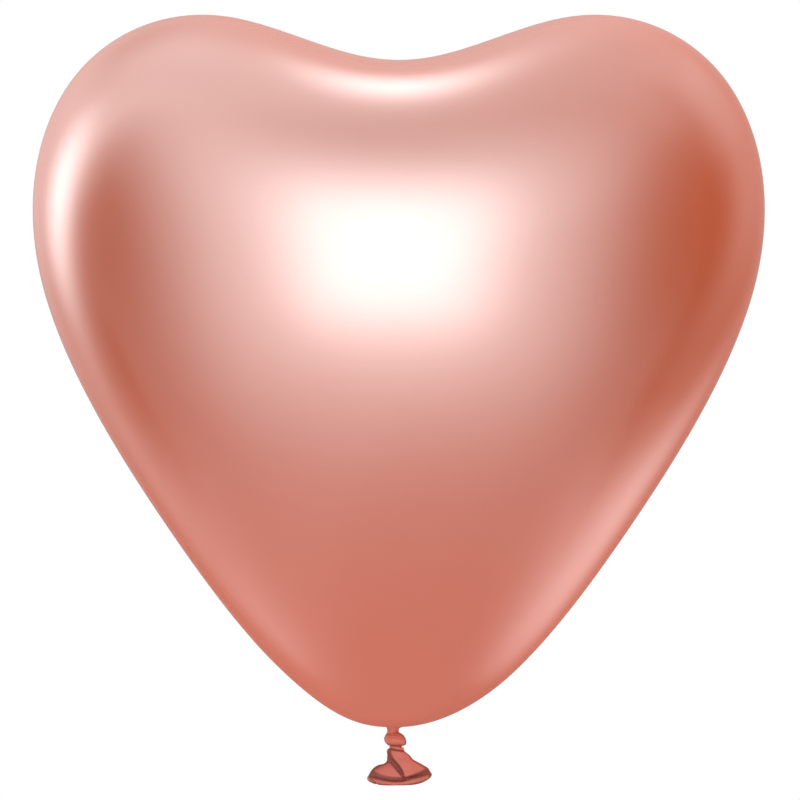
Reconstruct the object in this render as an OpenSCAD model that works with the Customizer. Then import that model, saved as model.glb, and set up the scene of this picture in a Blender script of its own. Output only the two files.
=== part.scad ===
// Heart-shaped latex balloon, inflated and tied, held upright with its tail hanging.
// Origin: the middle of the neck, where a ribbon is tied. +Z points up to the cleft and -Y to
// the front. Millimetres.

/* [Heart] */
// Width of the inflated heart across its lobes
heart_w = 300; // [270:5:320]
// Height of the inflated heart from its tip to its lobe tops
heart_h = 291.5; // [262:0.5:310]
// Depth of the inflated heart from front to back
heart_d = 180; // [150:2:200]
// How far the heart's middle plane lies to the right of the neck
heart_shift = 2.4; // [0:0.2:4]
// Wall of the inflated skin
skin_wall = 0.4; // [0.3:0.05:0.8]

/* [Neck and knot] */
// Diameter of the gathered neck
neck_d = 5; // [4.6:0.1:5.2]
// Width of the knot across its upper turn
knot_w = 9.2; // [8.4:0.1:9.6]
// Thickness of the strand in the knot's upper turn
upper_turn_t = 5.2; // [4.6:0.1:5.4]
// Thickness of the strand in the knot's lower turn
lower_turn_t = 2.3; // [2:0.1:2.4]
// How far the knot leans, in degrees, with its right side down
knot_lean = 8; // [0:1:10]

/* [Tail] */
// Width of the flared tail across its rolled lip
tail_w = 27.4; // [24:0.2:30]
// Depth of the tail's mouth from front to back, lip included
tail_d = 10; // [9:0.2:12]
// Height from the middle of the neck down to the bottom of the lip
tail_drop = 22.7; // [22:0.1:24]
// Wall of the slack latex in the tail
tail_wall = 0.4; // [0.35:0.05:0.6]
// Diameter of the rolled lip's bead
lip_d = 1.5; // [1.2:0.1:1.8]
// How far the lip's two ends curl up above its middle
lip_curl = 3.4; // [2:0.2:4]

/* [Hidden] */

stretched = [0.80, 0.47, 0.41];
slack = [0.74, 0.36, 0.31];

gap = 0.2;                      // running clearance between two bodies
throat_r = neck_d / 2 + gap;    // the skin's opening round the neck

// Heart: a smooth curve is drawn between these points, which pull on it from outside. They suit
// a heart 300 wide, 291.5 tall and 180 deep, and stretch with it.
tip_z = 1.1;
cleft_z = tip_z + 0.935 * heart_h;
front_pulls = [[46, 17], [92, 76], [160, 185], [143, 276], [72, 304.5]];
side_pulls = [[26, 9], [62, 81], [95, 165], [86, 238], [62, 272]];
spans = len(front_pulls) + 1;
rings_per_span = 7;
around = 40;                    // points round each ring of the heart

// Knot: the middles of its two turns, and the strand that runs straight down through both
upper_turn = [1.0, 0, -4.1];
lower_turn = [1.7, 0, -8.1];
strand_x = 1.2;
strand_r = 2;

// Tail: the ball-shaped stem that it swings on, and its mouth
stem = [strand_x, 0, -11.2];
stem_r = 2.2;
skirt_top_z = stem.z - 0.6;
mouth_x = 2.2;
mouth_a = (tail_w - lip_d) / 2;
mouth_b = (tail_d - lip_d) / 2;
mouth_z = -tail_drop + lip_d / 2;
tail_around = 32;
skirt_rings = 12;
lip_sides = 10;

// ---- curves and surfaces ----

function unit(v) = v / norm(v);

function smooth(t) = let (c = min(max(t, 0), 1)) c * c * (3 - 2 * c);

function stretched_by(points, kx, kz) = [for (p = points) [p.x * kx, p.y * kz]];

// Adds the points that make a curve leave the throat level and arrive level at the cleft
function with_ends(p) =
    let (n = len(p) - 1)
    concat(
        [[2 * throat_r - p[0].x, p[0].y], [throat_r, 1.5 * tip_z - 0.5 * p[0].y]],
        p,
        [[0, 1.5 * cleft_z - 0.5 * p[n].y], [-p[n].x, p[n].y]]
    );

// Point of a smooth curve (a uniform cubic B-spline); the whole part of u picks the span
function on_curve(p, u) =
    let (i = min(floor(u), spans - 1), t = u - i)
    (pow(1 - t, 3) * p[i]
        + (3 * pow(t, 3) - 6 * t * t + 4) * p[i + 1]
        + (-3 * pow(t, 3) + 3 * t * t + 3 * t + 1) * p[i + 2]
        + pow(t, 3) * p[i + 3]) / 6;

front_curve = with_ends(stretched_by(front_pulls, heart_w / 300, heart_h / 291.5));
side_curve = with_ends(stretched_by(side_pulls, heart_d / 180, heart_h / 291.5));

// Heart's outer surface: u runs from the throat up to the cleft, a goes round the neck
function skin_point(u, a) =
    let (f = on_curve(front_curve, u), s = on_curve(side_curve, u))
    [
        heart_shift * smooth(u) + f.x * cos(a),
        s.x * sin(a),
        s.y + (f.y - s.y) * pow(cos(a), 2)
    ];

// Outward normal of the heart, from two short steps on its surface
function skin_normal(u, a) =
    let (h = 0.002,
         du = skin_point(min(u + h, spans), a) - skin_point(max(u - h, 0), a),
         da = skin_point(u, a + 0.5) - skin_point(u, a - 0.5))
    unit(cross(da, du));

// Level rings of the heart, from the throat up, without the pole at the cleft
levels = [for (i = [0:spans * rings_per_span - 1]) i / rings_per_span];

function ring_of(u, inset) =
    [for (j = [0:around - 1])
        let (a = 360 * j / around)
        skin_point(u, a) - inset * skin_normal(u, a)];

// Solid whose surface runs through equal rings, from a start point to an end point
module capped_loft(rings, start, end) {
    n = len(rings[0]);
    m = len(rings);
    last = 1 + n * m;
    points = concat([start], [for (r = rings) each r], [end]);
    faces = concat(
        [for (j = [0:n - 1]) [0, 1 + j, 1 + (j + 1) % n]],
        [for (i = [0:m - 2]) for (j = [0:n - 1]) let (a = 1 + i * n, b = a + n, k = (j + 1) % n)
            each [[a + j, b + j, a + k], [a + k, b + j, b + k]]],
        [for (j = [0:n - 1]) let (a = 1 + (m - 1) * n) [a + j, last, a + (j + 1) % n]]
    );
    polyhedron(points, faces, convexity = 6);
}

// Ring-shaped solid whose surface runs through equal rings and back to the first
module closed_loft(rings) {
    n = len(rings[0]);
    m = len(rings);
    points = [for (r = rings) each r];
    faces = [for (i = [0:m - 1]) for (j = [0:n - 1])
        let (a = i * n, b = ((i + 1) % m) * n, k = (j + 1) % n)
        each [[a + j, b + j, a + k], [a + k, b + j, b + k]]];
    polyhedron(points, faces, convexity = 6);
}

// ---- heart ----

// Inflated skin: one seamless wall, open at the throat
module heart_skin() {
    last = len(levels) - 1;
    color(stretched)
        capped_loft(
            concat(
                [for (i = [last:-1:0]) ring_of(levels[i], 0)],
                [for (u = levels) ring_of(u, skin_wall)]
            ),
            [heart_shift, 0, cleft_z],
            [heart_shift, 0, cleft_z - skin_wall]
        );
}

// ---- neck and knot ----

// Gathered neck between the heart and the knot; round, so that the knot can tip on it
module neck() {
    color(slack)
        sphere(d = neck_d, $fn = 48);
}

// One turn of the strand, at its place on the leaning knot
module turn(place, outer_r, thickness) {
    translate(place)
        rotate([0, knot_lean, 0])
            rotate_extrude($fn = 72)
                intersection() {
                    translate([outer_r - thickness / 2, 0])
                        circle(d = thickness, $fn = 48);
                    translate([0, -thickness])
                        square([outer_r, 2 * thickness]);
                }
}

// Strand between two heights
module strand(low, high) {
    translate([strand_x, 0, low])
        cylinder(r = strand_r, h = high - low, $fn = 48);
}

// Room that the neck needs in the top of the knot
module neck_seat() {
    sphere(r = neck_d / 2 + gap, $fn = 48);
}

// Room that the tail's stem needs in the bottom of the knot
module stem_seat() {
    translate(stem)
        sphere(r = stem_r + gap, $fn = 48);
}

module knot_upper_turn() {
    color(slack)
        difference() {
            turn(upper_turn, knot_w / 2, upper_turn_t);
            strand(stem.z, 0);
            neck_seat();
        }
}

module knot_lower_turn() {
    color(slack)
        difference() {
            turn(lower_turn, strand_r + 0.9 * lower_turn_t, lower_turn_t);
            strand(stem.z, 0);
            stem_seat();
        }
}

// Strand that runs down through both turns, from the neck to the tail
module knot_core() {
    color(slack)
        difference() {
            strand(lower_turn.z - lower_turn_t / 2, upper_turn.z + upper_turn_t / 2);
            neck_seat();
            stem_seat();
        }
}

// ---- tail ----

// Gathered root of the tail, under the knot
module tail_stem() {
    color(slack)
        translate(stem)
            sphere(r = stem_r, $fn = 48);
}

// Middle line of the lip, round the mouth
function mouth_point(a) = [
    mouth_x + mouth_a * cos(a),
    mouth_b * sin(a),
    mouth_z + lip_curl * pow(cos(a), 4) + 0.8 * pow(cos(a), 3)
];

// Skirt's wall at a share t of the way down from the stem to the lip. inset moves it inwards.
function skirt_point(t, a, inset) =
    let (m = mouth_point(a),
         top_r = stem_r + gap + tail_wall,
         top = [stem.x + top_r * cos(a), top_r * sin(a), skirt_top_z],
         wide = pow(t, 0.5),
         deep = pow(t, 0.7),
         out = unit([cos(a) / (top_r + (mouth_a - top_r) * wide),
                     sin(a) / (top_r + (mouth_b - top_r) * deep), 0]))
    [
        top.x + (m.x - top.x) * wide,
        top.y + (m.y - top.y) * deep,
        top.z + (m.z - top.z) * t
    ] - inset * out;

function skirt_ring(t, inset) =
    [for (j = [0:tail_around - 1]) skirt_point(t, 360 * j / tail_around, inset)];

// Flared, flattened end of the balloon below the stem: open at the mouth, and its edge runs into
// the lip's bead
module tail_skirt() {
    color(slack)
        closed_loft(concat(
            [for (i = [0:skirt_rings]) skirt_ring(i / skirt_rings, 0)],
            [for (i = [skirt_rings:-1:0]) skirt_ring(i / skirt_rings, tail_wall)]
        ));
}

// Bead that the mouth's edge is rolled into
module rolled_lip() {
    color(slack)
        closed_loft([for (j = [0:tail_around - 1])
            let (a = 360 * j / tail_around,
                 c = mouth_point(a),
                 ahead = unit(mouth_point(a + 1) - mouth_point(a - 1)),
                 side = unit(cross(ahead, [0, 0, 1])),
                 up = cross(side, ahead))
            [for (k = [0:lip_sides - 1])
                c + lip_d / 2 * (cos(360 * k / lip_sides) * side + sin(360 * k / lip_sides) * up)]]);
}

heart_skin();
neck();
knot_upper_turn();
knot_lower_turn();
knot_core();
tail_stem();
tail_skirt();
rolled_lip();
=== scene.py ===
"""Looks for the heart-shaped latex balloon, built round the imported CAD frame.

Shapes are worked out in millimetres in the frame's own axes and turned into metres when a mesh
is made: +Z up to the cleft, -Y to the front, origin in the middle of the neck.
"""

from math import cos, radians, sin

import bpy
import numpy as np
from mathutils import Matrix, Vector


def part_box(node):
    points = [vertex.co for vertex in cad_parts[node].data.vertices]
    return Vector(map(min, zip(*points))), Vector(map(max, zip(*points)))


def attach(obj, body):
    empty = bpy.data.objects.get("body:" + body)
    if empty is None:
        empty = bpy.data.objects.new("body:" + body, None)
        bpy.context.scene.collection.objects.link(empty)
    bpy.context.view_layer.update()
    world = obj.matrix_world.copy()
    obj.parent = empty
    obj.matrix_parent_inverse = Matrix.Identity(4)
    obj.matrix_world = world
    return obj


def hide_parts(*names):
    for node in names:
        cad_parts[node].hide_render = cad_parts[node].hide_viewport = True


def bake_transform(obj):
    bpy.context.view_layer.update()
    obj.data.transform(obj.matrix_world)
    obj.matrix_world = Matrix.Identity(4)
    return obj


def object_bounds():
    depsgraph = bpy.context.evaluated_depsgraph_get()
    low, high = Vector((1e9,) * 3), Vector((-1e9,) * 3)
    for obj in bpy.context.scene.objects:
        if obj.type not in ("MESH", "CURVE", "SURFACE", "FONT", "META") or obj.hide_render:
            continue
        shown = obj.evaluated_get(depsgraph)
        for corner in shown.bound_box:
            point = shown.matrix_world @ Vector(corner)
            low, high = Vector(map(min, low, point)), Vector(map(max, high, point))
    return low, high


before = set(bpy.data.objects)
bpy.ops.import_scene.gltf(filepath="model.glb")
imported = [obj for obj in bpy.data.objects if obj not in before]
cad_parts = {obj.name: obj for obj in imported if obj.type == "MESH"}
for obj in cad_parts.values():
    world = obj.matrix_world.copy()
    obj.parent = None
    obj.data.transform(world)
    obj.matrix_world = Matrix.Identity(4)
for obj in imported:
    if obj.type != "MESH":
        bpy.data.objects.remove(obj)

MM = 0.001
cad_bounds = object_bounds()


def box_mm(node):
    low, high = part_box(node)
    return np.array(low) / MM, np.array(high) / MM


# ---- small curve and mesh helpers -------------------------------------------------------------


def smooth(x, a=0.0, b=1.0):
    """0 before a, 1 after b, and an even S between them."""
    t = np.clip((np.asarray(x, float) - a) / (b - a), 0, 1)
    return t * t * (3 - 2 * t)


def bump(x, width):
    """A bell of height 1 that falls off over about width on each side."""
    return np.exp(-((np.asarray(x, float) / width) ** 2))


def mix(a, b, t):
    return a + (b - a) * t


def unit(v):
    return v / np.maximum(np.linalg.norm(v, axis=-1, keepdims=True), 1e-12)


def spline(points, u):
    """Points of a uniform cubic B-spline whose whole parameter steps are its spans."""
    p = np.asarray(points, float)
    u = np.asarray(u, float)
    i = np.clip(np.floor(u).astype(int), 0, len(p) - 4)
    t = (u - i)[..., None]
    return (
        (1 - t) ** 3 * p[i]
        + (3 * t**3 - 6 * t**2 + 4) * p[i + 1]
        + (-3 * t**3 + 3 * t**2 + 3 * t + 1) * p[i + 2]
        + t**3 * p[i + 3]
    ) / 6


def through(points, t):
    """A smooth curve (Catmull-Rom) through the points, for t from 0 to 1."""
    p = np.asarray(points, float)
    p = np.vstack([2 * p[0] - p[1], p, 2 * p[-1] - p[-2]])
    s = np.clip(np.asarray(t, float), 0, 1) * (len(p) - 3)
    i = np.clip(np.floor(s).astype(int), 0, len(p) - 4)
    f = (s - i)[..., None]
    a, b, c, d = p[i], p[i + 1], p[i + 2], p[i + 3]
    return 0.5 * (
        2 * b + (c - a) * f + (2 * a - 5 * b + 4 * c - d) * f**2 + (3 * b - a - 3 * c + d) * f**3
    )


def ring_angles(count):
    """Evenly spaced angles round a ring, 0 at its right end."""
    return np.linspace(0, 2 * np.pi, count, endpoint=False)


def waves(angle, seed, lowest, highest):
    """Uneven pleats round a ring, about -1 to 1: a few waves with seeded sizes and phases."""
    rng = np.random.default_rng(seed)
    total = np.zeros_like(angle, dtype=float)
    for k in range(lowest, highest + 1):
        total += rng.uniform(0.4, 1.0) * np.cos(k * angle + rng.uniform(0, 2 * np.pi))
    return total / (0.6 * (highest - lowest + 1))


def grid_mesh(name, rings, closed_rings=True, loop=False, start=None, end=None):
    """A smooth quad mesh through equal rings of points in millimetres.

    start and end are points that close the mesh to a pole. loop joins the last ring to the first.
    """
    rings = np.asarray(rings, float)
    m, n, _ = rings.shape
    verts = [tuple(v * MM) for v in rings.reshape(-1, 3)]
    faces = []
    for i in range(m if loop else m - 1):
        a, b = i * n, ((i + 1) % m) * n
        for j in range(n if closed_rings else n - 1):
            k = (j + 1) % n
            faces.append((a + j, a + k, b + k, b + j))
    for pole, base, turned in ((start, 0, True), (end, (m - 1) * n, False)):
        if pole is not None:
            tip = len(verts)
            verts.append(tuple(np.asarray(pole, float) * MM))
            for j in range(n):
                k = (j + 1) % n
                edge = (base + k, base + j) if turned else (base + j, base + k)
                faces.append((*edge, tip))
    mesh = bpy.data.meshes.new(name)
    mesh.from_pydata(verts, [], faces)
    mesh.validate()
    mesh.polygons.foreach_set("use_smooth", [True] * len(mesh.polygons))
    mesh.update()
    piece = bpy.data.objects.new(name, mesh)
    bpy.context.scene.collection.objects.link(piece)
    return piece


def paint(piece, name, values):
    """Keeps a share from 0 to 1 at each point of a piece, for its material."""
    layer = piece.data.attributes.new(name, "FLOAT", "POINT")
    layer.data.foreach_set("value", np.clip(np.asarray(values, float).ravel(), 0, 1).astype(np.float32))


def looped_tube(name, path, radii, sides, profile):
    """A closed tube along a closed path.

    profile(angle, share) scales its radius, at an angle round it and a share of the way along.
    """
    ahead = unit(np.roll(path, -1, 0) - np.roll(path, 1, 0))
    side = unit(np.cross(ahead, [0.0, 0.0, 1.0]))
    up = np.cross(side, ahead)
    angle = ring_angles(sides)
    share = np.linspace(0, 1, len(path), endpoint=False)[:, None]
    r = (radii[:, None] * profile(angle[None, :], share))[..., None]
    rings = path[:, None] + r * (
        np.cos(angle)[None, :, None] * side[:, None] + np.sin(angle)[None, :, None] * up[:, None]
    )
    return grid_mesh(name, rings, loop=True)


# ---- camera, floor and light ------------------------------------------------------------------

# The view is straight at the front, level with the middle of the balloon, from far away.
CAMERA_AWAY = 3.0
FRAME_TALL = 0.3275                # what the square picture takes in at the balloon, in metres
FRAME_MIDDLE = (0.0029, 0.1349)    # x and z of the picture's middle
FLOOR_DROP = 0.8                   # the balloon floats this far above the floor
FLOOR_RADIUS = 9.0


def add_camera():
    data = bpy.data.cameras.new("camera")
    data.sensor_width = 36.0
    data.sensor_height = 36.0
    data.lens = 36.0 * CAMERA_AWAY / FRAME_TALL
    data.clip_end = 50.0
    camera = bpy.data.objects.new("camera", data)
    camera.location = (FRAME_MIDDLE[0], -CAMERA_AWAY, FRAME_MIDDLE[1])
    camera.rotation_euler = (radians(90), 0, 0)
    bpy.context.scene.collection.objects.link(camera)
    bpy.context.scene.camera = camera


class Nodes:
    """Short spelling for building a node tree."""

    def __init__(self, tree):
        self.tree = tree
        tree.nodes.clear()

    def add(self, kind, **settings):
        node = self.tree.nodes.new(kind)
        for key, value in settings.items():
            setattr(node, key, value)
        return node

    def link(self, source, target):
        self.tree.links.new(source, target)

    def math(self, operation, *values):
        node = self.add("ShaderNodeMath", operation=operation)
        for socket, value in zip(node.inputs, values):
            if isinstance(value, (int, float)):
                socket.default_value = value
            else:
                self.link(value, socket)
        return node.outputs[0]

    def dot(self, vector, direction):
        node = self.add("ShaderNodeVectorMath", operation="DOT_PRODUCT")
        self.link(vector, node.inputs[0])
        node.inputs[1].default_value = direction
        return node.outputs["Value"]

    def ramp(self, value, low, high, to_low=0.0, to_high=1.0):
        """An even S from to_low to to_high as value goes from low to high."""
        node = self.add("ShaderNodeMapRange", interpolation_type="SMOOTHSTEP")
        self.link(value, node.inputs["Value"])
        for socket, number in zip(
            ("From Min", "From Max", "To Min", "To Max"), (low, high, to_low, to_high)
        ):
            node.inputs[socket].default_value = number
        return node.outputs["Result"]


def soft_box(nodes, ray, azimuth, elevation, wide, tall, strength, edge, roll):
    """A soft-edged light far away. Azimuth 0 is in front of the balloon and 90 to its right.

    An edge of 1 makes it a round glow, and the more the edge, the squarer and crisper it is.
    """
    a, e, k = radians(azimuth), radians(elevation), radians(roll)
    centre = np.array([np.sin(a) * np.cos(e), -np.cos(a) * np.cos(e), np.sin(e)])
    right = np.array([np.cos(a), np.sin(a), 0.0])
    above = np.cross(right, centre)
    across = right * np.cos(k) + above * np.sin(k)
    along = -right * np.sin(k) + above * np.cos(k)
    far = 0.0
    for direction in (across / wide, along / tall):
        share = nodes.math("ABSOLUTE", nodes.dot(ray, direction))
        far = nodes.math("ADD", nodes.math("POWER", share, 2 * edge), far)
    fall = nodes.math("EXPONENT", nodes.math("MULTIPLY", far, -1.0))
    facing = nodes.ramp(nodes.dot(ray, centre), 0.0, 0.1)
    return nodes.math("MULTIPLY", nodes.math("MULTIPLY", fall, facing), strength)


SOFT_BOXES = [
    # azimuth, elevation, half width, half height, strength, edge, roll
    (-1.2, 3.9, 0.351, 0.403, 1.61, 1.87, 0),         # bright box behind the camera
    (-3.3, -3.9, 0.762, 0.68, 1.27, 2.27, 0),         # large panel round it
    (-107.1, 9.8, 0.193, 0.421, 2.36, 1.07, 32.5),    # bright strip at the left
    (-139.8, 13.4, 0.621, 0.474, 0.934, 1.54, 0),     # panel behind on the left
    (142.7, 42.5, 0.632, 0.794, 0.417, 2.84, 0),      # panel high behind on the right
    (-76.9, 66.4, 0.722, 0.527, 0.971, 1.46, 0),      # soft box overhead on the left
    (109.8, 31.5, 0.443, 0.226, 0.106, 4.02, 0),      # dim panel at the right
    (118.4, -41.8, 0.415, 0.141, 3.36, 1.23, -33.2),  # low strip at the right
    (-106.7, -47.7, 0.395, 0.125, 2.37, 0.75, 32.6),  # low strip at the left
]

# Lamps that fill the matt colour in and aren't mirrored: azimuth, elevation, power in watts
FILL_LAMPS = [(100, 24, 28.4), (-115, -13, 7.3), (180, 50, 18)]
LAMP_AWAY = 2.0
LAMP_SIZE = 1.0

# A small soft light close over the cleft, mirrored between the lobes: its place, its half widths
# and its strength
CLEFT_LIGHT_AT = (0.0, -0.042, 0.372)
CLEFT_LIGHT_HALF = (0.035, 0.048)
CLEFT_LIGHT_STRENGTH = 1.75


# The studio's own walls and ceiling: a little light everywhere, and more high up on the right
WALL_LIGHT = 0.042
CEILING_LIGHT = (0.04, 0.255)        # at the left and at the right


def add_world():
    """A white surround for the camera, and soft studio light for everything else."""
    world = bpy.data.worlds.new("studio")
    world.use_nodes = True
    bpy.context.scene.world = world
    nodes = Nodes(world.node_tree)
    ray = nodes.add("ShaderNodeTexCoord").outputs["Generated"]
    separate = nodes.add("ShaderNodeSeparateXYZ")
    nodes.link(ray, separate.inputs[0])
    ceiling = nodes.ramp(separate.outputs["X"], -0.5, 0.6, *CEILING_LIGHT)
    above = nodes.ramp(separate.outputs["Z"], 0.36, 0.79)
    light = nodes.math("ADD", nodes.math("MULTIPLY", above, ceiling), WALL_LIGHT)
    for setting in SOFT_BOXES:
        light = nodes.math("ADD", light, soft_box(nodes, ray, *setting))
    studio = nodes.add("ShaderNodeBackground")
    studio.inputs["Color"].default_value = (1, 1, 1, 1)
    nodes.link(light, studio.inputs["Strength"])
    surround = nodes.add("ShaderNodeBackground")
    surround.inputs["Strength"].default_value = 1.0
    surround.inputs["Color"].default_value = (1, 1, 1, 1)
    path = nodes.add("ShaderNodeLightPath")
    choose = nodes.add("ShaderNodeMixShader")
    nodes.link(path.outputs["Is Camera Ray"], choose.inputs[0])
    nodes.link(studio.outputs[0], choose.inputs[1])
    nodes.link(surround.outputs[0], choose.inputs[2])
    output = nodes.add("ShaderNodeOutputWorld")
    nodes.link(choose.outputs[0], output.inputs[0])


def add_lamps():
    for i, (azimuth, elevation, power) in enumerate(FILL_LAMPS):
        data = bpy.data.lights.new(f"fill_lamp_{i + 1}", "AREA")
        data.shape = "DISK"
        data.size = LAMP_SIZE
        data.energy = power
        lamp = bpy.data.objects.new(data.name, data)
        a, e = radians(azimuth), radians(elevation)
        away = Vector((sin(a) * cos(e), -cos(a) * cos(e), sin(e)))
        lamp.location = Vector((0, 0, FRAME_MIDDLE[1])) + LAMP_AWAY * away
        lamp.rotation_euler = away.to_track_quat("Z", "Y").to_euler()
        lamp.visible_glossy = False
        lamp.visible_camera = False
        bpy.context.scene.collection.objects.link(lamp)


def add_cleft_light():
    """A glowing card that only the mirror shine sees, bright in the middle and dark at its edge."""
    half = 2.3 * np.array(CLEFT_LIGHT_HALF) / MM
    corners = [[(x * half[0], y * half[1], 0) for x in (-1, 1)] for y in (-1, 1)]
    card = grid_mesh("cleft_light", corners, closed_rings=False)
    card.location = CLEFT_LIGHT_AT
    material = bpy.data.materials.new("cleft_glow")
    material.use_nodes = True
    nodes = Nodes(material.node_tree)
    place = nodes.add("ShaderNodeTexCoord").outputs["Object"]
    far = 0.0
    for direction in ((1 / CLEFT_LIGHT_HALF[0], 0, 0), (0, 1 / CLEFT_LIGHT_HALF[1], 0)):
        share = nodes.dot(place, direction)
        far = nodes.math("ADD", nodes.math("MULTIPLY", share, share), far)
    fall = nodes.math("EXPONENT", nodes.math("MULTIPLY", far, -1.0))
    glow = nodes.add("ShaderNodeEmission")
    nodes.link(nodes.math("MULTIPLY", fall, CLEFT_LIGHT_STRENGTH), glow.inputs["Strength"])
    see_through = nodes.add("ShaderNodeBsdfTransparent")
    both = nodes.add("ShaderNodeAddShader")
    nodes.link(glow.outputs[0], both.inputs[0])
    nodes.link(see_through.outputs[0], both.inputs[1])
    output = nodes.add("ShaderNodeOutputMaterial")
    nodes.link(both.outputs[0], output.inputs[0])
    card.data.materials.append(material)
    card.visible_camera = False
    card.visible_diffuse = False
    card.visible_shadow = False


def add_floor():
    """A plain pale floor, far below. Gloss doesn't mirror it."""
    height = (cad_bounds[0][2] - FLOOR_DROP) / MM
    angle = ring_angles(96)
    rings = [
        np.stack([r * np.cos(angle), r * np.sin(angle), np.full(len(angle), height)], -1)
        for r in FLOOR_RADIUS / MM * np.array([1, 0.5, 0.2, 0.05])
    ]
    floor = grid_mesh("floor", rings, end=(0, 0, height))
    material = bpy.data.materials.new("pale_floor")
    material.use_nodes = True
    nodes = Nodes(material.node_tree)
    shader = nodes.add("ShaderNodeBsdfPrincipled")
    shader.inputs["Base Color"].default_value = (0.86, 0.86, 0.86, 1)
    shader.inputs["Roughness"].default_value = 0.9
    shader.inputs["Specular IOR Level"].default_value = 0.1
    # Far out it fades into the white surround
    surround = nodes.add("ShaderNodeEmission")
    distance = nodes.add("ShaderNodeVectorMath", operation="LENGTH")
    nodes.link(nodes.add("ShaderNodeTexCoord").outputs["Object"], distance.inputs[0])
    fade = nodes.add("ShaderNodeMixShader")
    nodes.link(nodes.ramp(distance.outputs["Value"], 1.5, 0.85 * FLOOR_RADIUS), fade.inputs[0])
    nodes.link(shader.outputs[0], fade.inputs[1])
    nodes.link(surround.outputs[0], fade.inputs[2])
    output = nodes.add("ShaderNodeOutputMaterial")
    nodes.link(fade.outputs[0], output.inputs[0])
    floor.data.materials.append(material)
    floor.visible_glossy = False


# ---- latex ------------------------------------------------------------------------------------


def latex(name, tone, thick_and_shading_tone, roughness, ior, flake, dull=None):
    """Metallic-finish latex. tone is its colour; the second colour is mixed in by thickness and painted
    shading: painted shade in the slack folds, painted light on the heart's thick bottom.

    ior sets how strongly the flakes near the surface mirror; dull is the share of that left
    where the latex is thick and slack.
    """
    material = bpy.data.materials.new(name)
    material.use_nodes = True
    nodes = Nodes(material.node_tree)
    place = nodes.add("ShaderNodeTexCoord").outputs["Object"]

    def noise(scale, detail, distortion=0.0):
        node = nodes.add("ShaderNodeTexNoise")
        nodes.link(place, node.inputs["Vector"])
        node.inputs["Scale"].default_value = scale
        node.inputs["Detail"].default_value = detail
        node.inputs["Distortion"].default_value = distortion
        return node.outputs["Fac"]

    def mixed(factor, first, second):
        node = nodes.add("ShaderNodeMix", data_type="RGBA")
        nodes.link(factor, node.inputs["Factor"])
        for socket, colour in ((node.inputs["A"], first), (node.inputs["B"], second)):
            if isinstance(colour, tuple):
                socket.default_value = (*colour, 1)
            else:
                nodes.link(colour, socket)
        return node.outputs["Result"]

    # Thickness and painted shading: painted shade darkens the slack parts' folds, creases and edges,
    # the heart's thicker bottom is painted paler and lighter, partly as painted light from below, and
    # the colour drifts a little
    thickness_and_painted_shading = nodes.add("ShaderNodeAttribute", attribute_name="thickness_and_painted_shading").outputs["Fac"]
    drift = nodes.ramp(noise(14.0, 3.0, 0.4), 0.3, 0.7, -0.05, 0.05)
    colour = mixed(nodes.math("ADD", thickness_and_painted_shading, drift), tone, thick_and_shading_tone)
    # Pigment: fine metallic flakes lie at slightly different depths
    flakes = noise(2600.0, 2.0)
    speck = nodes.ramp(flakes, 0.35, 0.75, 0.0, flake)
    lighter = tuple(min(1.0, c * 1.25 + 0.04) for c in tone)
    colour = mixed(speck, colour, lighter)

    shader = nodes.add("ShaderNodeBsdfPrincipled")
    nodes.link(colour, shader.inputs["Base Color"])
    nodes.link(
        nodes.ramp(noise(60.0, 4.0), 0.3, 0.7, roughness - 0.01, roughness + 0.01),
        shader.inputs["Roughness"],
    )
    shader.inputs["IOR"].default_value = ior
    if dull is not None:
        nodes.link(mixed(thickness_and_painted_shading, (1.0, 1.0, 1.0), (dull, dull, dull)), shader.inputs["Specular Tint"])

    # Surface: a faint orange-peel from the dip former, and finer flake texture
    skin = nodes.add("ShaderNodeBump")
    skin.inputs["Strength"].default_value = 0.03
    skin.inputs["Distance"].default_value = 0.0003
    nodes.link(noise(220.0, 3.0), skin.inputs["Height"])
    grain = nodes.add("ShaderNodeBump")
    grain.inputs["Strength"].default_value = 0.05
    grain.inputs["Distance"].default_value = 0.00005
    nodes.link(flakes, grain.inputs["Height"])
    nodes.link(skin.outputs["Normal"], grain.inputs["Normal"])
    nodes.link(grain.outputs["Normal"], shader.inputs["Normal"])
    output = nodes.add("ShaderNodeOutputMaterial")
    nodes.link(shader.outputs[0], output.inputs[0])
    return material


# The heart's second colour, paler and lighter, is partly thicker latex and partly painted light from
# below
STRETCHED = latex(
    "stretched_latex", tone=(0.522, 0.081, 0.018), thick_and_shading_tone=(0.545, 0.153, 0.108),
    roughness=0.2, ior=4.0, flake=0.12, dull=0.1,
)
# The slack latex's second colour is painted shade, for its folds, creases, edges and hollows
SLACK = latex(
    "slack_latex", tone=(0.565, 0.133, 0.089), thick_and_shading_tone=(0.188, 0.034, 0.021),
    roughness=0.45, ior=1.45, flake=0.15,
)


# ---- heart ------------------------------------------------------------------------------------

# The same curves as the CAD skin's, set in its place
skin_low, skin_high = box_mm("heart_skin")
SHIFT = (skin_low[0] + skin_high[0]) / 2    # how far its middle plane lies to the right
TIP_Z = skin_low[2]
HEART_H = 291.5
CLEFT_Z = TIP_Z + 0.935 * HEART_H
THROAT_R = 2.7
FRONT_PULLS = [(46, 17), (92, 76), (160, 185), (143, 276), (72, 304.5)]
SIDE_PULLS = [(26, 9), (62, 81), (95, 165), (86, 238), (62, 272)]
SPANS = len(FRONT_PULLS) + 1


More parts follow.
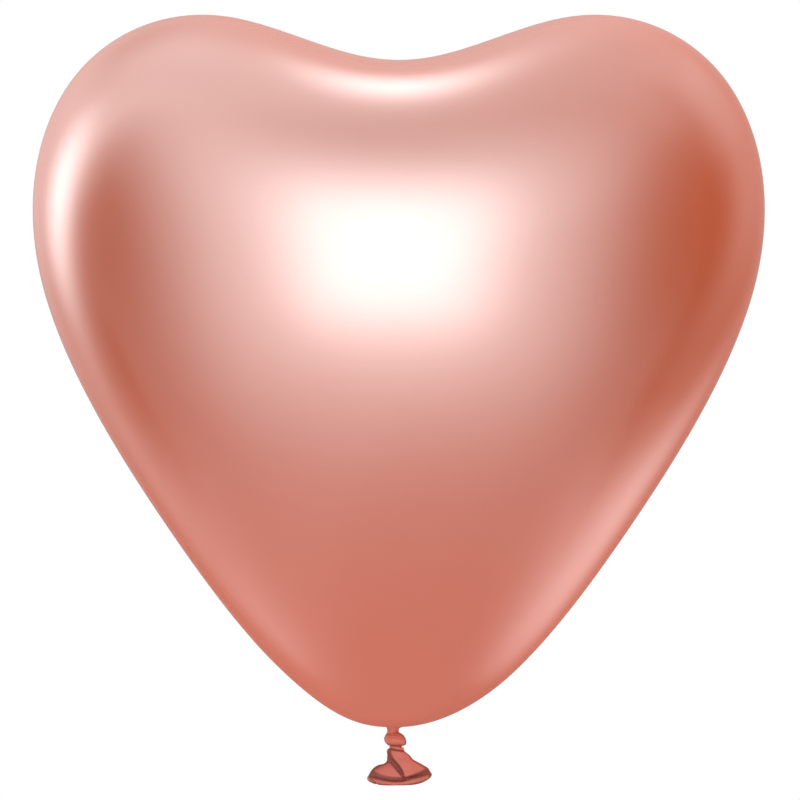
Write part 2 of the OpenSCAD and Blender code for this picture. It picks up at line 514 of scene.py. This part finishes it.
def with_ends(pulls):
    """Adds the points that make a curve leave the throat level and arrive level at the cleft."""
    p = np.array(pulls, float)
    return np.vstack([
        (2 * THROAT_R - p[0, 0], p[0, 1]),
        (THROAT_R, 1.5 * TIP_Z - 0.5 * p[0, 1]),
        p,
        (0, 1.5 * CLEFT_Z - 0.5 * p[-1, 1]),
        (-p[-1, 0], p[-1, 1]),
    ])


FRONT_CURVE = with_ends(FRONT_PULLS)
SIDE_CURVE = with_ends(SIDE_PULLS)


def skin_point(u, a):
    """Heart's surface: u runs from the throat up to the cleft, a goes round the neck."""
    front = spline(FRONT_CURVE, u)
    side = spline(SIDE_CURVE, u)
    return np.stack([
        SHIFT * smooth(u) + front[..., 0] * np.cos(a),
        side[..., 0] * np.sin(a),
        side[..., 1] + (front[..., 1] - side[..., 1]) * np.cos(a) ** 2,
    ], -1)


AROUND = 240
SKIN_RINGS = 190
GATHER_RINGS = 18
CLEFT_GAP = 0.004           # the last ring of the skin lies this much of a span from the cleft
FIRST_SPAN_WIDE = 46.0      # the skin widens by about this much over its first span
# Height of the fillet where the round bottom turns down into the neck, at the left and the right
FILLET_LEFT = 0.5
FILLET_RIGHT = 3.8
# The skin is thinnest above the first height, where it shines most, and thickest below the second,
# where its shine is duller and its colour is painted paler and lighter, partly as painted light from
# below
THIN_UNPAINTED_ABOVE = 199.0
THICK_PAINTED_LIGHT_BELOW = 5.0
NECK_R = 2.45
NECK_MID_Z = 0.05           # where the skin ends and the neck's own piece begins
NECK_LOW_Z = -2.6           # where the neck ends inside the knot


def neck_pleats(angle):
    return waves(angle, 7, 7, 13)


def neck_ring(angle, z):
    """The gathered neck's outline at a height: uneven pleats, and a hollow on its right side."""
    pleats = 0.10 * neck_pleats(angle) + 0.05 * np.cos(3 * angle + 1.0 + 0.5 * z)
    hollow = 0.12 * bump(np.angle(np.exp(1j * (angle - 0.2))), 0.8) * bump(z + 0.6, 0.9)
    return NECK_R + pleats - hollow


def make_heart():
    angle = ring_angles(AROUND)
    to_right = (0.5 + 0.5 * np.cos(angle)) ** 1.5
    fillet = FILLET_LEFT + (FILLET_RIGHT - FILLET_LEFT) * to_right
    leave = fillet / FIRST_SPAN_WIDE
    u = leave + (SPANS - CLEFT_GAP - leave) * np.linspace(1, 0, SKIN_RINGS)[:, None] ** 1.25
    upper = skin_point(u, np.broadcast_to(angle, u.shape))
    # Small pleats run a little way out from the neck over the heart's round bottom
    out = np.hypot(upper[..., 0], upper[..., 1])
    near_neck = smooth(out, 12.0, 2.5) * (upper[..., 2] < 20)
    upper[..., 2] += 0.05 * neck_pleats(angle)[None] * near_neck
    top = upper[-1]
    radial = np.stack([np.cos(angle), np.sin(angle)], -1)
    neck = np.concatenate([
        radial * neck_ring(angle, NECK_MID_Z)[:, None],
        np.full((AROUND, 1), NECK_MID_Z),
    ], -1)
    turn = np.linspace(np.pi / 2, 0, GATHER_RINGS + 1)[1:, None, None]
    across = neck[None, :, :2] + (top - neck)[None, :, :2] * (1 - np.cos(turn))
    down = neck[None, :, 2:] + (top - neck)[None, :, 2:] * np.sin(turn)
    gather = np.concatenate([across, down], -1)
    rings = np.concatenate([upper, gather])
    heart = grid_mesh("inflated_heart", rings, start=(SHIFT, 0, CLEFT_Z))
    heights = np.append(rings[..., 2].ravel(), CLEFT_Z)
    # Thickness and painted light: towards the bottom the colour turns paler and lighter and the shine
    # duller
    paint(heart, "thickness_and_painted_shading", smooth(heights, THIN_UNPAINTED_ABOVE, THICK_PAINTED_LIGHT_BELOW))
    heart.data.materials.append(STRETCHED)
    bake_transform(heart)
    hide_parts("heart_skin")
    return heart


# ---- neck and knot ----------------------------------------------------------------------------


def finish_slack(piece, node=None, thickness_and_painted_shading=None):
    paint(piece, "thickness_and_painted_shading", np.zeros(len(piece.data.vertices)) if thickness_and_painted_shading is None else thickness_and_painted_shading)
    piece.data.materials.append(SLACK)
    if node:
        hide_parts(node)
    return piece


def make_neck():
    angle = ring_angles(AROUND)
    rings = []
    for z in np.linspace(NECK_MID_Z, NECK_LOW_Z, 20):
        r = neck_ring(angle, z)
        rings.append(np.stack([r * np.cos(angle), r * np.sin(angle), np.full(AROUND, z)], -1))
    neck = grid_mesh("gathered_neck", rings)
    finish_slack(neck, "neck")
    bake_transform(neck)


def ring_between(left, right, depth, angle):
    """A ring whose left and right ends are given (x, z) points, and whose half depth is given."""
    c, s = np.cos(angle), np.sin(angle)
    x = (left[0] + right[0]) / 2 + (right[0] - left[0]) / 2 * c
    z = (left[1] + right[1]) / 2 + (right[1] - left[1]) / 2 * c
    return np.stack([x, depth * s, z], -1)


def rim_share(ring, angle, wide):
    """1 at a flattened ring's left and right edges, fading over a width in millimetres."""
    half = (ring[:, 0].max() - ring[:, 0].min()) / 2
    return smooth(half * (1 - np.abs(np.cos(angle))), wide, 0.1 * wide)


# Left and right edges of the knot's thick turn as seen from the front, and its half depth
WRAP_LEFT = [
    (-1.9, -1.0), (-2.6, -1.7), (-3.3, -2.6), (-3.6, -3.7), (-3.4, -4.8), (-2.7, -5.8), (-1.7, -6.6)
]
WRAP_RIGHT = [
    (2.2, -1.0), (3.2, -1.5), (4.4, -2.4), (5.2, -3.7), (5.5, -5.1), (5.2, -6.2), (3.6, -6.8)
]
WRAP_DEPTH = [2.2, 2.9, 3.6, 4.1, 4.1, 3.5, 2.3]


def make_upper_turn():
    """The knot's thick turn. The strand's edge shows behind, where it comes round over itself."""
    angle = ring_angles(160)
    # The crease runs from the top left round behind to the bottom right
    crease_at = 1.08 - 1.16 * angle / np.pi
    behind = smooth(np.sin(angle), 0.0, 0.3)
    rings, thickness_and_painted_shading = [], []
    for t in np.linspace(0, 1, 70):
        depth = through(np.array(WRAP_DEPTH)[:, None], t)[0]
        ring = ring_between(through(WRAP_LEFT, t), through(WRAP_RIGHT, t), depth, angle)
        crease = bump(t - crease_at, 0.055) * behind
        strain = 0.05 * np.cos(40 * (t - 0.10 * np.cos(angle - 0.5))) * smooth(t, 0.1, 0.4)
        pull = 0.65 * crease - 0.35 * bump(t - crease_at - 0.13, 0.09) * behind + strain
        ring[:, 0] -= pull * np.cos(angle)
        ring[:, 1] -= pull * np.sin(angle)
        rings.append(ring)
        # Painted shade in the crease, over the turn's lower part and bottom, and along its left and
        # right edges
        under = 0.5 * smooth(t, 0.66, 0.88) + smooth(t, 0.93, 1.0)
        thickness_and_painted_shading.append(0.9 * crease + under + 0.8 * rim_share(ring, angle, 1.0))
    ends = {"start": (0.1, 0, -1.0), "end": (0.95, 0, -6.7)}
    wrap = grid_mesh("knot_upper_wrap", rings, **ends)
    thickness_and_painted_shading = np.append(np.array(thickness_and_painted_shading).ravel(), [0, 1])
    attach(finish_slack(wrap, "knot_upper_turn", thickness_and_painted_shading), "knot")


def make_lower_turn():
    """The thin turn under it: a roll, thin at the left and thick where it comes down on the right."""
    sides = 32
    angle = ring_angles(140)
    radius = 0.5 + 0.3 * np.cos(angle) + 0.12 * smooth(np.cos(angle), 0.4, 1.0)
    x = 1.2 + 2.45 * np.cos(angle)
    y = 2.35 * np.sin(angle)
    z = -6.75 - radius - 0.4 * smooth(np.cos(angle), -0.2, 1.0)

    def pleats(a, s):
        return 1 + 0.04 * waves(a, 11, 3, 6)

    turn = looped_tube("knot_lower_wrap", np.stack([x, y, z], -1), radius, sides, pleats)
    side = ring_angles(sides)[None]
    # Painted shade on the underside of the roll, towards its right end
    under = smooth(np.sin(side), -0.2, -0.8) * smooth(np.cos(angle), 0.1, 0.7)[:, None]
    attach(finish_slack(turn, "knot_lower_turn", under), "knot")


CORE_LEFT = [(-0.9, -3.0), (-1.0, -5.0), (-1.2, -6.8), (-1.6, -7.6), (-1.8, -8.4), (-1.2, -9.3)]
CORE_RIGHT = [(3.3, -3.0), (3.4, -5.0), (3.6, -7.0), (4.4, -8.2), (4.9, -9.2), (4.0, -10.4)]
CORE_DEPTH = [2.1, 2.1, 2.15, 2.3, 2.2, 1.8]


def make_core():
    """The strand down through both turns. Below the thin turn it is painted dark, as painted shade in
    the crease there.
    """
    angle = ring_angles(120)
    rings = []
    for t in np.linspace(0, 1, 40):
        depth = through(np.array(CORE_DEPTH)[:, None], t)[0]
        ring = ring_between(through(CORE_LEFT, t), through(CORE_RIGHT, t), depth, angle)
        pleat = 0.10 * waves(angle + t, 5, 8, 14)
        ring[:, 0] += pleat * np.cos(angle)
        ring[:, 1] += pleat * np.sin(angle)
        rings.append(ring)
    core = grid_mesh("knot_strand", rings, start=(1.2, 0, -3.0), end=(1.4, 0, -9.85))
    # Painted shade below the thin turn
    heights = np.append(np.array(rings)[..., 2].ravel(), [-3.0, -9.85])
    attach(finish_slack(core, "knot_core", smooth(heights, -6.8, -7.4)), "knot")


# ---- tail -------------------------------------------------------------------------------------

TAIL_AROUND = 260
# Left and right edges of the tail as seen from the front, the height of its front middle, and
# its half depth
ROOT_LEFT = [(-1.5, -7.6), (-2.2, -8.1), (-2.5, -8.9), (-2.35, -10.2), (-2.4, -11.2)]
ROOT_RIGHT = [(4.3, -8.5), (5.2, -9.2), (5.9, -9.8), (6.7, -10.4), (7.4, -11.2)]
ROOT_DEPTH = [2.0, 2.5, 2.65, 2.6, 2.5]
LEFT_EDGE = [
    (-2.4, -11.2), (-2.5, -12.7), (-3.6, -13.9), (-6.4, -14.7), (-8.7, -16.5), (-10.4, -19.5)
]
RIGHT_EDGE = [
    (7.4, -11.2), (8.3, -12.2), (10.2, -13.3), (12.4, -14.5), (14.5, -15.9), (15.6, -17.9)
]
MIDDLE_Z = [-11.2, -13.0, -15.0, -17.2, -19.3, -21.3]
DEPTH = [2.5, 2.7, 3.0, 3.4, 3.9, 4.2]
# Where the right lobe laps over the left one on the front, and how wide the crease is there
CREASE_X = [-1.0, 0.2, 1.8, 3.3, 4.2, 4.8]
CREASE_W = [0.90, 1.35, 1.35, 0.95, 0.50, 0.40]
SKIRT_WALL = 0.35
# Base share of the dark colour on the skirt and on the lip away from their folds and edges, and painted
# shade over the skirt's inside
SKIRT_DARK = 0.09
LIP_DARK = 0.22
INSIDE_DARK = 0.7


def at(values, t):
    return through(np.array(values, float)[:, None], t)[..., 0]


def tail_ring(t, angle, inset=0.0):
    """Ring of the skirt and its painted shade share, for t from 0 at the root to 1 at the lip."""
    left = through(LEFT_EDGE, t)
    right = through(RIGHT_EDGE, t)
    middle = at(MIDDLE_Z, t)
    depth = at(DEPTH, t) - inset
    c, s = np.cos(angle), np.sin(angle)
    x = (left[0] + right[0]) / 2 + ((right[0] - left[0]) / 2 - inset) * c
    z = middle + (right[1] - left[1]) / 2 * c + ((right[1] + left[1]) / 2 - middle) * c**2
    # Fold: the right lobe laps over the left one, along a line that leans down to the right
    crease_x, crease_w = at(CREASE_X, t), at(CREASE_W, t)
    lap = smooth(x - crease_x, -1.2 * crease_w, 0.9 * crease_w) - 0.5
    valley = bump(x - crease_x, crease_w)
    strength = 0.35 + 0.65 * smooth(t, 0.0, 0.25)
    strength = strength * smooth(t, 1.02, 0.78)
    front = smooth(-s, 0.0, 0.5)
    y = depth * s - front * strength * (1.0 * lap - 1.1 * valley)
    # Behind, a softer fold leans the other way
    back_x = mix(4.0, -1.5, smooth(t, 0.0, 0.95))
    back_fold = bump(x - back_x, 1.1) * smooth(s, 0.0, 0.5) * strength
    y = y - 1.2 * back_fold
    # A furrow just above the lip
    furrow = bump(t - 0.89, 0.085)
    y = y * (1 - 0.20 * furrow)
    # Painted shade: crisp where the right lobe ends, softer over the left one, and in the fold behind
    # and the furrow above the lip
    beside = x - crease_x - 0.9 * crease_w
    shade = smooth(beside, 0.25, -0.1) * smooth(beside, -3.2 * crease_w, -1.5 * crease_w)
    above_lip = t + 0.07 * smooth(c, 0.0, 0.6)
    dark = shade * front * smooth(t, 1.05, 0.6) + 0.7 * back_fold + smooth(above_lip, 0.76, 0.88)
    # Painted shade along the left lobe's outer edge too
    dark = dark + 0.7 * bump(c + 1, 0.15) * smooth(t, 0.35, 0.6)
    # Painted shade over the front of the skirt's upper left, under the root
    dark = dark + smooth(x, -0.5, -1.4) * front * smooth(t, 0.5, 0.1)
    ring = np.stack([x, y, z], -1)
    # Painted shade along its left and right edges as well
    return ring, np.clip(SKIRT_DARK + dark + rim_share(ring, angle, 1.2), 0, 1)


def make_tail_root():
    angle = ring_angles(TAIL_AROUND)
    shared, shared_dark = tail_ring(np.array(0.0), angle)
    rings, dark = [], []
    for t in np.linspace(0, 1, 24):
        ring = ring_between(through(ROOT_LEFT, t), through(ROOT_RIGHT, t), at(ROOT_DEPTH, t), angle)
        ring[:, 1] = mix(ring[:, 1], shared[:, 1], smooth(t, 0.0, 1.0))
        pleat = 0.12 * waves(angle, 19, 7, 12) * (1 - smooth(t, 0.5, 1.0))
        ring[:, 0] += pleat * np.cos(angle)
        ring[:, 1] += pleat * np.sin(angle)
        rings.append(ring)
        # Painted shade over the root's upper part, on the front of its left side and along its edges,
        # running into the skirt's painted shade
        gathered = smooth(ring[:, 0], -0.2, -1.2) * smooth(-np.sin(angle), 0.0, 0.5)
        gathered = SKIRT_DARK + np.maximum(gathered, rim_share(ring, angle, 1.1))
        dark.append(mix(np.maximum(gathered, smooth(t, 0.48, 0.15)), shared_dark, smooth(t, 0.6, 1.0)))
    root = grid_mesh("tail_root", rings, start=(1.5, 0, -8.3))
    finish_slack(root, "tail_stem", np.append(np.array(dark).ravel(), 1))
    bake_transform(root)


def make_skirt():
    angle = ring_angles(TAIL_AROUND)
    steps = np.linspace(0, 1, 84)
    outer = [tail_ring(t, angle) for t in steps]
    # Its inside runs back up from the lip to a blind end, close under the root
    inner = [tail_ring(t, angle, SKIRT_WALL) for t in steps[:10:-1]]
    rings = [ring for ring, dark in outer + inner]
    # Painted shade over the skirt's inside
    dark = [dark for ring, dark in outer] + [np.full(TAIL_AROUND, INSIDE_DARK) for ring in inner]
    skirt = grid_mesh("flared_tail", rings, end=(1.6, 0, -12.4))
    finish_slack(skirt, "tail_skirt", np.append(np.array(dark).ravel(), INSIDE_DARK))
    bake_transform(skirt)


def make_lip():
    angle = ring_angles(TAIL_AROUND)
    c, s = np.cos(angle), np.sin(angle)
    # The lip hangs lowest in the middle and curls up at both ends, more at the right
    curl = np.where(c > 0, 2.7 * c**2 + 0.8 * c**4, 1.9 * np.abs(c) ** 2.4)
    swell = 0.35 * bump(c - 0.45, 0.3) * (s < 0)
    path = np.stack([2.65 + 12.75 * c, 4.15 * s, -21.9 + curl + swell], -1)

    def lap_line(a, around):
        """Where the rolled edge laps over itself, slanting across the bead at the front's left."""
        across = -0.937 + 0.114 * (1 - np.sin(a))
        return bump(np.cos(around) - across, 0.035) * smooth(-np.sin(around), 0.0, 0.25)

    def roll(a, share):
        tall = 0.76 + 0.50 * np.sin(4 * np.pi * share) ** 2 + 0.12 * np.cos(2 * np.pi * share) ** 2
        tall = tall + 0.35 * bump(np.cos(2 * np.pi * share) - 0.45, 0.3) * (share > 0.5)
        across = 0.74 - 0.22 * np.cos(2 * np.pi * share) ** 8
        oval = 1 / np.sqrt((np.cos(a) / across) ** 2 + (np.sin(a) / tall) ** 2)
        ripple = 1 + 0.015 * waves(a, 23, 3, 5) + 0.015 * np.cos(2 * np.pi * 5 * share + 1.0)
        # The edge of the rolled-up latex shows as a fine step along the bead
        step = 0.07 * bump(np.angle(np.exp(1j * (a - 0.7))), 0.22)
        return oval * ripple * (1 - step - 0.16 * lap_line(a, 2 * np.pi * share))

    sides = 40
    lip = looped_tube("rolled_lip_bead", path, np.ones(TAIL_AROUND), sides, roll)
    # Painted shade along its top against the skirt, along its bottom, at its right end and in the lap
    # line, over a base share
    side = ring_angles(sides)[None]
    dark = 0.8 * smooth(np.sin(side), 0.55, 0.95) + 0.95 * smooth(c, 0.87, 0.95)[:, None]
    dark = LIP_DARK + dark + 0.7 * smooth(np.sin(side), -0.5, -0.9)
    dark = dark + 0.9 * lap_line(side, angle[:, None])
    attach(finish_slack(lip, "rolled_lip", dark), "tail")


add_camera()
add_world()
add_lamps()
add_cleft_light()
add_floor()
bpy.context.scene.view_settings.view_transform = "Standard"

make_heart()
make_neck()
make_upper_turn()
make_lower_turn()
make_core()
make_tail_root()
make_skirt()
make_lip()
